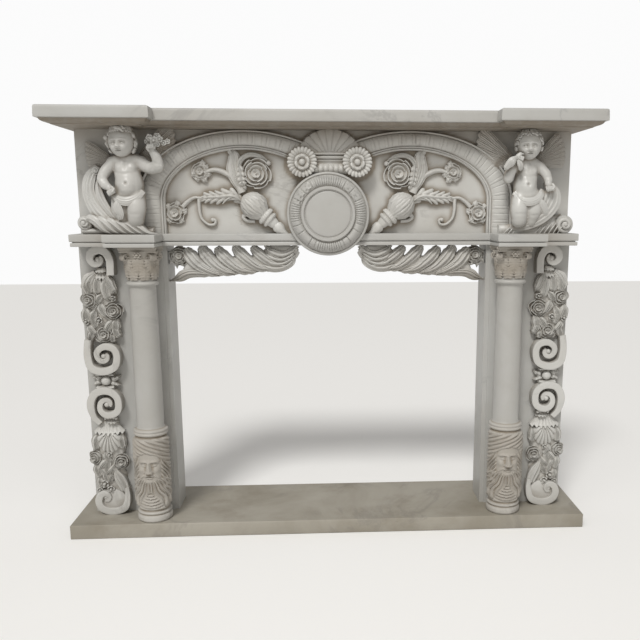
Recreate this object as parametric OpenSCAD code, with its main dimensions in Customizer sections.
// Carved marble fireplace mantel, in millimetres.
// +X is to the right, the front faces -Y and +Z is up. The origin is the centre of the
// underside of the whole model's box. "Forward" values are distances in front of the
// hearth slab's back edge, and fy() turns one into a Y coordinate.

/* [Hearth slab] */
// Width of the hearth slab
hearth_w = 1566; // [1540:1:1750]
// Depth of the hearth slab, back to front
hearth_d = 315; // [312:1:345]
// Thickness of the hearth slab
hearth_t = 44; // [25:1:70]

/* [Legs and opening] */
// Clear width of the firebox opening between the legs
opening_w = 958; // [800:1:1100]
// Width of each leg's front board
leg_w = 255; // [240:1:290]
// Height of the legs, from the hearth slab to the ledge
leg_h = 826; // [780:1:1000]
// Forward distance of the surround's plain back face
back_f = 90; // [60:1:120]
// Forward distance of the legs' front face
leg_f = 202; // [190:1:205]
// Width of the rebate along the leg's inner edge
rebate_w = 13; // [6:1:16]
// Depth of the rebate along the leg's inner edge
rebate_d = 5; // [2:0.5:10]

/* [Ledge between legs and frieze] */
// Height of the ledge course
ledge_h = 35; // [28:1:60]
// Height of the listel band along the ledge's foot
listel_h = 11; // [6:1:12]
// Height of the groove above the listel band
groove_h = 3; // [2:0.5:4]
// How far the groove is cut back
groove_d = 7; // [3:0.5:10]
// Forward distance of the ledge's front between the two column blocks
ledge_f = 217; // [214:1:222]
// Forward distance of the ledge's front over the garlands
ledge_end_f = 276; // [255:1:290]
// Forward distance of the ledge's front over the columns
ledge_block_f = 331; // [325:1:335]
// Width of each block of the ledge over a column
ledge_block_w = 145; // [138:1:160]
// How far the ledge's ends pass the legs' outer edges
ledge_over = 3; // [1:1:12]

/* [Frieze] */
// Height of the frieze
frieze_h = 297; // [290:1:340]
// Forward distance of the frieze's ground
frieze_f = 190; // [180:1:200]
// How far the frieze's ends stop short of the legs' outer edges
frieze_inset = 6; // [2:1:12]
// Width of an arch band where it stands on the ledge
arch_w = 70; // [50:1:76]
// Width of an arch band at its crown
arch_crown_w = 47; // [38:1:54]
// How far the arch bands stand out from the ground
arch_relief = 26; // [12:1:32]
// Radius of the rosettes where the arches end
rosette_r = 43; // [34:1:48]
// Radius of the largest roses in the spandrels
rose_r = 38; // [26:1:42]

/* [Medallion] */
// Radius of the medallion
medallion_r = 121; // [104:1:126]
// Thickness of the medallion
medallion_t = 42; // [28:1:55]

/* [Mantel shelf] */
// Width of the mantel shelf
shelf_w = 1566; // [1520:1:1750]
// Thickness of the shelf slab
shelf_t = 32; // [22:1:50]
// Forward distance of the shelf's front between its end blocks
shelf_f = 291; // [285:1:310]
// Forward distance of the shelf's front at its end blocks
shelf_block_f = 350; // [346:1:380]
// Width of each end block of the shelf
shelf_block_w = 303; // [240:1:340]
// Height of the bed moulding under the shelf
mould_h = 16; // [10:1:26]
// How far the bed moulding's top is set in from the shelf's edge
mould_inset = 8; // [4:1:14]
// How much the bed moulding narrows down to its foot
mould_run = 34; // [20:1:36]

/* [Columns] */
// Distance of a column's axis from the inner edge of its leg
column_in = 62; // [58:1:72]
// Forward distance of the columns' axes
column_f = 258; // [257:1:259]
// Radius of the column shafts
shaft_r = 39; // [30:1:44]
// Radius of the ring at the top of a shaft
astragal_r = 47; // [42:1:50]
// Radius of the pedestal drums
pedestal_r = 54; // [50:1:55]
// Height of the pedestal drums
pedestal_h = 290; // [240:1:330]
// Height of the capitals
capital_h = 92; // [84:1:120]
// Width of a capital's abacus
abacus_w = 110; // [100:1:112]

/* [Garlands] */
// Distance of a garland's middle line from the leg's outer edge
garland_out = 58; // [57:1:64]
// Width of a garland
garland_w = 108; // [96:1:112]
// Thickness of a garland's plain plate
garland_plate_t = 14; // [8:1:20]
// Height of the garland's carving above its plate
garland_relief = 24; // [14:1:34]

/* [Leaf brackets] */
// Length of a pierced leaf bracket under the ledge
bracket_l = 386; // [350:1:420]
// Drop of a bracket at its leg
bracket_drop = 112; // [100:1:140]
// Thickness of a bracket
bracket_t = 42; // [28:1:60]
// Forward distance of a bracket's front
bracket_f = 205; // [198:1:208]

/* [Cherubs] */
// Height of the cherub figures
cherub_h = 285; // [270:1:288]
// Forward distance of the middle of a cherub's body
cherub_f = 236; // [230:1:242]

/* [Hidden] */
$fn = 64;

marble = [0.80, 0.79, 0.76];
marble_dark = [0.70, 0.68, 0.63];
marble_light = [0.86, 0.85, 0.83];

total_d = shelf_block_f;
leg_in = opening_w / 2;
leg_out = leg_in + leg_w;
ledge_z = hearth_t + leg_h;
frieze_z = ledge_z + ledge_h;
mould_z = frieze_z + frieze_h;
shelf_z = mould_z + mould_h;
frieze_out = leg_out - frieze_inset;
block_in = leg_in + 6;
column_x = leg_in + column_in;
garland_x = leg_out - garland_out;
capital_z = ledge_z - capital_h;
shaft_z = hearth_t + pedestal_h;
shaft_h = capital_z - shaft_z;
medallion_z = frieze_z + 57;
// the arches: two quarter ellipses, an inner and an outer edge, on straight legs
arch_x = leg_in - 234;
arch_foot = 97;
arch_in_a = block_in - arch_x - 2;
arch_in_b = frieze_h - arch_foot - arch_crown_w - 2;
arch_out_a = arch_in_a + arch_w;
arch_out_b = frieze_h - arch_foot - 1;
rosette_x = 83;
rosette_z = frieze_z + 205;
// leaves of a bracket and their spacing
bracket_leaves = 6;
bracket_pitch = (bracket_l - 80) / bracket_leaves;
// how deep a raised carving is rooted in the stone behind it
root = 6;

// Y coordinate of a forward distance
function fy(f) = total_d / 2 - f;

// a block from x0 to x1, from forward f0 to f1 and from z0 to z1
module block(x0, x1, f0, f1, z0, z1)
    translate([x0, fy(f1), z0]) cube([x1 - x0, f1 - f0, z1 - z0]);

// the same thing on the left, seen from the front
module left() mirror([1, 0, 0]) children();

// the same thing on both sides
module both() {
    children();
    left() children();
}

// a flat outline in X and Z, thickened from forward f0 to f1
module relief(f0, f1)
    translate([0, fy(f0), 0]) rotate([90, 0, 0]) linear_extrude(f1 - f0) children();

// a round boss whose axis points forward: a turned profile of [radius, height] points
module boss(x, z, f0, profile)
    translate([x, fy(f0), z]) rotate([90, 0, 0]) rotate_extrude() polygon(profile);

// points along an ellipse's arc
function arc(cx, cz, a, b, from, to, steps) =
    [for (i = [0:steps]) let (t = from + (to - from) * i / steps) [cx + a * cos(t), cz + b * sin(t)]];

// ---- hearth slab, legs and ledge

module hearth_slab() color(marble_dark)
    block(-hearth_w / 2, hearth_w / 2, 0, hearth_d, 0, hearth_t);

module leg() color(marble) difference() {
    block(leg_in, leg_out, back_f, leg_f, hearth_t, ledge_z);
    block(leg_in - 1, leg_in + rebate_w, leg_f - rebate_d, leg_f + 1, hearth_t - 1, ledge_z + 1);
}

// one course of the ledge, set in all round its front by "set"
module ledge_course(set, z0, z1) {
    end = leg_out + ledge_over - set;
    block(-end, end, back_f, ledge_f - set, z0, z1);
    both() {
        block(block_in + set, end, back_f + 10, ledge_end_f - set, z0, z1);
        block(block_in + set, block_in + ledge_block_w - set, back_f + 20, ledge_block_f - set, z0, z1);
    }
}

module ledge() color(marble) {
    ledge_course(2, ledge_z, ledge_z + listel_h);
    ledge_course(groove_d, ledge_z + listel_h, ledge_z + listel_h + groove_h);
    ledge_course(0, ledge_z + listel_h + groove_h, frieze_z);
}

// ---- columns: a drum with a mask, a shaft and a leafy capital

// turned profile of the pedestal drum: foot, neck, body and top ring
function drum_profile() = let (r = pedestal_r, h = pedestal_h) concat(
    [[0, 0], [r - 5, 0]], arc(r - 7, 9, 6, 9, -60, 90, 6),
    [[r - 8, 20]], arc(r - 8, 26, 6, 6, -90, 90, 6), [[r - 10, 34], [r - 6, 44]],
    [for (i = [0:8]) let (t = i / 8) [r - 5 + 3 * sin(180 * t), 48 + (h - 88) * t]],
    [[r - 4, h - 34]], arc(r - 6, h - 26, 6, 7, -80, 80, 6),
    [[r - 8, h - 16], [shaft_r + 5, h - 10], [shaft_r + 1, h], [0, h]]);

module column_pedestal() color(marble) translate([column_x, fy(column_f), hearth_t]) {
    rotate_extrude() polygon(drum_profile());
    // the mask on its front: brow, cheeks, nose, moustache and the two locks of the beard
    intersection() {
        union() {
            translate([0, -20, 0.60 * pedestal_h]) sphere(r = 38);
            translate([0, -30, 0.52 * pedestal_h]) sphere(r = 26);
            for (s = [-1, 1]) {
                translate([s * 16, -26, 0.66 * pedestal_h]) rotate([0, s * 78, 0])
                    cylinder(r = 27, h = 12, center = true);
                translate([s * 14, -24, 0.36 * pedestal_h]) rotate([0, s * 16, 0])
                    cylinder(r1 = 12, r2 = 30, h = 80, center = true);
            }
            translate([0, -50, 0.545 * pedestal_h]) cylinder(r1 = 9, r2 = 5, h = 40, center = true);
        }
        translate([0, 0, 40]) cylinder(r = pedestal_r + 2, h = pedestal_h - 70);
    }
}

module column_shaft() color(marble_light) translate([column_x, fy(column_f), shaft_z])
    rotate_extrude() polygon(concat(
        [[0, 0], [shaft_r + 1, 0]],
        [for (i = [0:6]) let (t = i / 6) [shaft_r + 1.5 * sin(180 * t) - 1.5 * t, 4 + (shaft_h - 26) * t]],
        [[shaft_r, shaft_h - 18]], arc(astragal_r - 5, shaft_h - 11, 5, 5, -90, 90, 8),
        [[shaft_r + 1, shaft_h - 4], [shaft_r + 1, shaft_h], [0, shaft_h]]));

// one ring of leaves that lean out at their tips
module leaf_ring(count, turn, r, z0, h, lean, width)
    for (i = [0:count - 1]) rotate([0, 0, turn + (i - 0.5) * 360 / count + (360 / count - width) / 2])
        translate([0, 0, z0]) rotate_extrude(angle = width)
            polygon([[r - 6, 0], [r + 2, 0], [r + 3, 0.5 * h], [r + 0.6 * lean, 0.82 * h],
                [r + lean, 0.9 * h], [r + lean, h], [r + 0.4 * lean, h + 1], [r - 6, 0.9 * h]]);

module column_capital() color(marble) translate([column_x, fy(column_f), capital_z]) {
    bell = capital_h - 16;
    half = abacus_w / 2;
    rotate_extrude() polygon([[0, 0], [shaft_r, 0], [shaft_r + 1, 0.55 * bell],
        [shaft_r + 6, 0.85 * bell], [half - 3, bell], [half - 3, bell + 4], [0, bell + 4]]);
    leaf_ring(8, 22.5, shaft_r, 0, 0.48 * bell, 9, 36);
    leaf_ring(8, 0, shaft_r, 0.2 * bell, 0.56 * bell, 12, 30);
    // four corner scrolls under a hollow-sided slab
    for (a = [45:90:315]) rotate([0, 0, a]) translate([half + 1, 0, bell - 9]) rotate([90, 0, 0])
        cylinder(r = 10, h = 15, center = true);
    difference() {
        translate([-half, -half, bell]) cube([2 * half, 2 * half, 16]);
        for (a = [0:90:270]) rotate([0, 0, a]) translate([half + 150, 0, bell - 1])
            cylinder(r = 158, h = 10);
    }
}

// ---- garlands on the legs' outer boards

// a scroll: a raised ring with a round eye inside it
module scroll(x, z, r, f0, h) {
    boss(x, z, f0, [[0, 0], [r, 0], [r, 0.7 * h], [0.86 * r, h], [0.62 * r, h], [0.55 * r, 0.45 * h],
        [0.36 * r, 0.45 * h], [0.30 * r, 0.9 * h], [0.1 * r, h], [0, h]]);
}

// a rose: a dome of two rings of petals round a bud
module rose(x, z, r, f0, h)
    boss(x, z, f0, [[0, 0], [r, 0], [r, 0.25 * h], [0.84 * r, 0.6 * h], [0.66 * r, 0.5 * h],
        [0.58 * r, 0.85 * h], [0.36 * r, 0.7 * h], [0.28 * r, h], [0, h]]);

// a leaf seen from the front: two arcs meeting at its base and tip
module leaf(x, z, len, wide, turn, f0, h)
    translate([x, 0, z]) rotate([0, -turn, 0]) relief(f0, f0 + h)
        polygon(concat([for (i = [0:8]) let (t = i / 8) [len * t, wide / 2 * sin(180 * pow(t, 0.8))]],
            [for (i = [7:-1:1]) let (t = i / 8) [len * t, -wide / 2 * sin(180 * pow(t, 0.8))]]));

// height of a garland motif at a share t of the leg's height
function at(t) = hearth_t + t * leg_h;

module garland() color(marble) {
    x = garland_x;
    w = garland_w / 2;
    f = leg_f + garland_plate_t - root;
    h = garland_relief + root;
    // the plate follows the scrolls and the flowers: wide at them and narrow between
    relief(leg_f, leg_f + garland_plate_t) polygon(concat(
        [for (i = [0:36]) let (t = i / 36)
            [x - w * (0.80 + 0.14 * cos(1440 * t)), hearth_t + leg_h * t]],
        [for (i = [36:-1:0]) let (t = i / 36)
            [x + w * (0.80 + 0.16 * cos(1440 * t + 40)), hearth_t + leg_h * t]]));
    scroll(x - 4, at(0.945), 0.62 * w, f, h);
    leaf(x - 2, at(0.93), 66, 60, -90, f, 0.8 * h);
    rose(x + 26, at(0.805), 0.48 * w, f, h);
    rose(x - 26, at(0.762), 0.44 * w, f, h);
    rose(x + 6, at(0.680), 0.5 * w, f, h);
    leaf(x - 12, at(0.67), 62, 34, -60, f, 0.55 * h);
    scroll(x - 2, at(0.607), 0.72 * w, f, h);
    boss(x - 2, at(0.508), f, [[0, 0], [0.4 * w, 0], [0.34 * w, 0.7 * h], [0.1 * w, h], [0, h]]);
    scroll(x - 2, at(0.420), 0.72 * w, f, h);
    leaf(x - 4, at(0.375), 74, 84, -90, f, 0.8 * h);
    rose(x + 38, at(0.225), 0.36 * w, f, h);
    rose(x - 22, at(0.198), 0.42 * w, f, h);
    leaf(x + 16, at(0.22), 80, 44, -78, f, 0.64 * h);
    rose(x + 10, at(0.115), 0.32 * w, f, h);
    scroll(x + 8, at(0.056), 0.68 * w, f, h);
}

// ---- pierced leaf brackets

// the drop of the bracket's underside below the ledge at a share t of its length from the leg
function bracket_under(t) = bracket_drop
    * (0.93 - 0.20 * t + 0.07 * cos(950 * t) * (1 - t)) * sqrt(max(0.06, 1 - pow(max(0, t - 0.72) / 0.28, 2)));

// the bracket's whole outline below the ledge
module bracket_outline() polygon(concat(
    [for (i = [0:32]) let (t = i / 32) [leg_in - bracket_l * t, ledge_z - bracket_under(t)]],
    [[leg_in - bracket_l, ledge_z], [leg_in, ledge_z]]));

module leaf_bracket() color(marble) {
    top = ledge_z;
    f0 = bracket_f - bracket_t;
    f1 = bracket_f - 8;
    // the leaves' thick body, with a slit below the ledge between each pair of leaf tips
    // and two small openings beside the rose
    difference() {
        relief(f0, f1) bracket_outline();
        for (i = [0:bracket_leaves - 2])
            let (x = leg_in - 70 - bracket_pitch * (i + 0.5), w = 0.42 * bracket_pitch)
                relief(f0 - 1, f1 + 1) polygon([[x - w, top + 1], [x + w, top + 1],
                    [x + 0.1 * w, top - 14], [x - 1.3 * w, top - 30]]);
        relief(f0 - 1, f1 + 1) polygon([[leg_in - 5, top - 60], [leg_in - 30, top - 68],
            [leg_in - 5, top - 88]]);
        relief(f0 - 1, f1 + 1) polygon([[leg_in - 62, top - 42], [leg_in - 80, top - 66],
            [leg_in - 62, top - 66]]);
    }
    // the leaves' midribs
    intersection() {
        for (i = [0:bracket_leaves - 1])
            leaf(leg_in - 70 - bracket_pitch * i + 12, top - 6, 112, 20, 222 - 2 * i, f1 - root, root + 8);
        relief(f0, bracket_f + 1) bracket_outline();
    }
    rose(leg_in - 31, top - 30, 27, f1 - root, 22 + root);
}

// ---- frieze: ground, two arches, rosettes, fan and the flowers in the spandrels

module arch_band(set_in, set_out, f0, f1) {
    a0 = arch_in_a + set_in;
    b0 = arch_in_b + set_in;
    a1 = arch_out_a - set_out;
    b1 = arch_out_b - set_out;
    zc = frieze_z + arch_foot;
    relief(f0, f1) polygon(concat(
        [[arch_x + a1, frieze_z]], arc(arch_x, zc, a1, b1, 0, 132, 26),
        arc(arch_x, zc, a0, b0, 124, 0, 24), [[arch_x + a0, frieze_z]]));
}

module fan() {
    count = 9;
    for (i = [0:count - 1]) let (a = 14 + 152 * i / (count - 1), r = 72 - 10 * abs(cos(a)))
        relief(frieze_f - root, frieze_f + 52) translate([0, rosette_z]) rotate(a)
            polygon([[12, -3], [r, -8.5], [r + 8, 0], [r, 8.5], [12, 3]]);
    relief(frieze_f - root, frieze_f + 46) polygon(arc(0, rosette_z, 64, 74, 8, 172, 24));
    relief(frieze_f - root, frieze_f + 56) polygon(arc(0, rosette_z + 4, 40, 16, 0, 354, 31));
    relief(frieze_f - root, frieze_f + 50) polygon(arc(0, rosette_z - 46, 62, 34, 0, 180, 24));
}

module spandrel() {
    g = frieze_f - root;
    rose(leg_in - 29, frieze_z + 60, 29, g, 20 + root);
    rose(leg_in - 107, frieze_z + 179, 25, g, 18 + root);
    rose(leg_in - 266, frieze_z + 172, rose_r, g, 26 + root);
    leaf(leg_in - 221, frieze_z + 130, 116, 44, 104, g, 14);
    leaf(leg_in - 190, frieze_z + 222, 80, 26, 168, g, 16);
    leaf(leg_in - 90, frieze_z + 105, 150, 40, 190, g, 18);
    leaf(leg_in - 112, frieze_z + 90, 70, 14, 262, g, 10);
    leaf(leg_in - 222, frieze_z + 72, 48, 18, 240, g, 10);
    leaf(leg_in - 110, frieze_z + 168, 120, 16, 196, g, 10);
    // the fluted bud on its collar, lying at a slant
    translate([leg_in - 257, fy(g), frieze_z + 86]) rotate([0, -135, 0]) rotate([0, 0, 37])
        rotate_extrude() polygon([[0, -100], [6, -100], [22, -54], [34, -50], [34, -40], [26, -34],
            [38, -14], [42, 8], [34, 30], [14, 42], [0, 42]]);
}

module frieze() color(marble) difference() {
    frieze_carving();
    // the medallion's seat on the pad
    relief(ledge_f, ledge_f + 90) translate([0, medallion_z]) circle(r = medallion_r + 0.3);
}

module frieze_carving() {
    block(-frieze_out, frieze_out, back_f, frieze_f, frieze_z, mould_z);
    both() {
        arch_band(0, 0, frieze_f - root, frieze_f + 0.55 * arch_relief);
        arch_band(-1.5, arch_crown_w - 9, frieze_f - root, frieze_f + arch_relief);
        arch_band(14, 6, frieze_f - root, frieze_f + 0.9 * arch_relief);
        boss(rosette_x, rosette_z, frieze_f - root, [[0, 0], [rosette_r, 0], [rosette_r, 42],
            [0.8 * rosette_r, 58], [0.62 * rosette_r, 56], [0.5 * rosette_r, 66],
            [0.28 * rosette_r, 62], [0.2 * rosette_r, 72], [0.08 * rosette_r, 74], [0, 74]]);
        spandrel();
    }
    fan();
    // the pad that carries the medallion above the ledge
    intersection() {
        relief(frieze_f - root, ledge_f) translate([0, medallion_z]) circle(r = medallion_r - 3);
        block(-medallion_r, medallion_r, back_f, ledge_f, frieze_z, mould_z);
    }
}

module medallion() color(marble_light) {
    r = medallion_r;
    t = medallion_t;
    boss(0, medallion_z, ledge_f, concat([[0, 0], [r - 4, 0], [r, 4], [r, 0.5 * t], [r - 4, 0.6 * t],
        [r - 8, 0.6 * t]], arc(0.83 * r, 0.66 * t, 0.12 * r, 0.34 * t, 10, 170, 12),
        [[0.70 * r, 0.62 * t], [0.69 * r, 0.86 * t], [0.60 * r, 0.86 * t], [0.59 * r, 0.66 * t],
        [0.56 * r, 0.66 * t], [0.55 * r, 0.80 * t], [0, 0.80 * t]]));
}

// ---- cherubs: limbs are tapered rods between named joints, in figure units of 1/100 height

limb_fn = 12;

// a tapered rod with round ends
module limb(a, b, ra, rb) hull() {
    translate(a) sphere(r = ra, $fn = limb_fn);
    translate(b) sphere(r = rb, $fn = limb_fn);
}

// a wing: a fan of feather rods from the shoulder, up and out
module wing(root, side, reach, lift) for (i = [0:3])
    limb([root[0], root[1], root[2] - 3 * i],
        [root[0] + side * reach * (1 - 0.10 * i), root[1] + 1, root[2] + lift - 8 * i], 4.5, 2.2);

// the foliage mound that the figure rises from
module mound(side) {
    limb([-side * 14, 2, 6], [side * 12, 0, 6], 6.5, 6.5);
    limb([side * 12, 0, 6], [side * 40, 3, 7], 6.5, 7.5);
    limb([side * 43, 4, 10], [side * 47, 8, 24], 5, 4);
    limb([side * 33, 5, 22], [side * 12, 6, 10], 5, 6);
    limb([side * 36, 7, 52], [side * 33, 5, 22], 3.5, 5);
}

module cherub_body(head, lean) {
    translate([lean, -3, 83]) sphere(r = 14.5, $fn = 20);
    limb([lean, 0, 92], [lean, 2, 80], 11, 13);
    limb([-6 + lean / 2, 0, 60], [6 + lean / 2, 0, 60], 9.5, 9.5);
    limb([0, -1, 60], [0, -2, 44], 12, 12.5);
    limb([lean, 2, 72], [0, 2, 58], 6, 9);
}

module left_cherub_shape() {
    cherub_body(0, -2);
    limb([-7, -3, 36], [-5, -7, 20], 9, 7.5);
    limb([8, -3, 36], [6, -6, 20], 9, 7.5);
    limb([-5, -7, 20], [-4, -3, 6], 7.5, 5.5);
    limb([6, -6, 20], [7, -3, 6], 7.5, 5.5);
    limb([-14, 0, 63], [-22, -4, 48], 6.5, 5.5);
    limb([-22, -4, 48], [-15, -9, 40], 5.5, 5.5);
    limb([14, 0, 65], [27, -4, 60], 6.5, 5);
    limb([27, -4, 60], [22, -7, 76], 5, 5.5);
    limb([20, -6, 84], [30, -4, 86], 6, 5);
    wing([-13, 6, 70], -1, 26, 6);
    wing([14, 8, 74], 1, 20, 16);
    mound(-1);
}

module right_cherub_shape() {
    cherub_body(0, 0);
    limb([-7, -3, 36], [-4, -9, 20], 9, 7.5);
    limb([8, -3, 36], [7, -9, 22], 9, 7.5);
    limb([-4, -9, 20], [-3, -2, 8], 7.5, 5.5);
    limb([7, -9, 22], [8, -2, 8], 7.5, 5.5);
    limb([-13, 0, 64], [-20, -4, 54], 6.5, 5.5);
    limb([-20, -4, 54], [-14, -10, 68], 5.5, 5);
    limb([-14, -10, 66], [-26, -7, 72], 5, 6);
    limb([14, 0, 64], [20, -3, 50], 6.5, 5.5);
    limb([20, -3, 50], [26, -7, 46], 5.5, 5.5);
    wing([-14, 7, 72], -1, 26, 14);
    wing([13, 7, 72], 1, 30, 13);
    mound(1);
}

// scales a figure, stands it on the ledge and trims it to the ground and the shelf
module stand_cherub(x) intersection() {
    translate([x, fy(cherub_f), frieze_z]) scale(cherub_h / 100) children();
    block(-leg_out - 14, leg_out + 14, frieze_f, ledge_block_f + 20, frieze_z, mould_z);
}

module left_cherub() color(marble_light) difference() {
    stand_cherub(-block_in - 95) left_cherub_shape();
    frieze_clear();
}
module right_cherub() color(marble_light) difference() {
    stand_cherub(block_in + 97) right_cherub_shape();
    frieze_clear();
}

// the arch legs' space, which the cherubs stay out of
module frieze_clear() both() arch_band(-1, -0.3, frieze_f - 10, frieze_f + arch_relief + 0.3);

// ---- mantel shelf: slab with forward end blocks, on a bed moulding

// the moulding's inset at a share t of its height, from its foot
function mould_set(t) = mould_inset + mould_run * (1 - sin(90 * t));

module shelf_course(set, z0, z1) {
    half = shelf_w / 2 - set;
    block(-half, half, back_f, shelf_f - set, z0, z1);
    both() block(shelf_w / 2 - shelf_block_w + set, half, back_f + 10, shelf_block_f - set, z0, z1);
}

module mantel_shelf() color(marble_light) {
    steps = 6;
    shelf_course(0, shelf_z, shelf_z + shelf_t);
    for (i = [0:steps - 1])
        shelf_course(mould_set((i + 0.5) / steps), mould_z + mould_h * i / steps, shelf_z + shelf_t / 2);
}

module left_leg() left() leg();
module right_leg() leg();
module left_garland() left() garland();
module right_garland() garland();
module left_column_pedestal() left() column_pedestal();
module right_column_pedestal() column_pedestal();
module left_column_shaft() left() column_shaft();
module right_column_shaft() column_shaft();
module left_column_capital() left() column_capital();
module right_column_capital() column_capital();
module left_leaf_bracket() left() leaf_bracket();
module right_leaf_bracket() leaf_bracket();

hearth_slab();
left_leg();
right_leg();
left_garland();
right_garland();
left_column_pedestal();
right_column_pedestal();
left_column_shaft();
right_column_shaft();
left_column_capital();
right_column_capital();
left_leaf_bracket();
right_leaf_bracket();
ledge();
frieze();
medallion();
left_cherub();
right_cherub();
mantel_shelf();
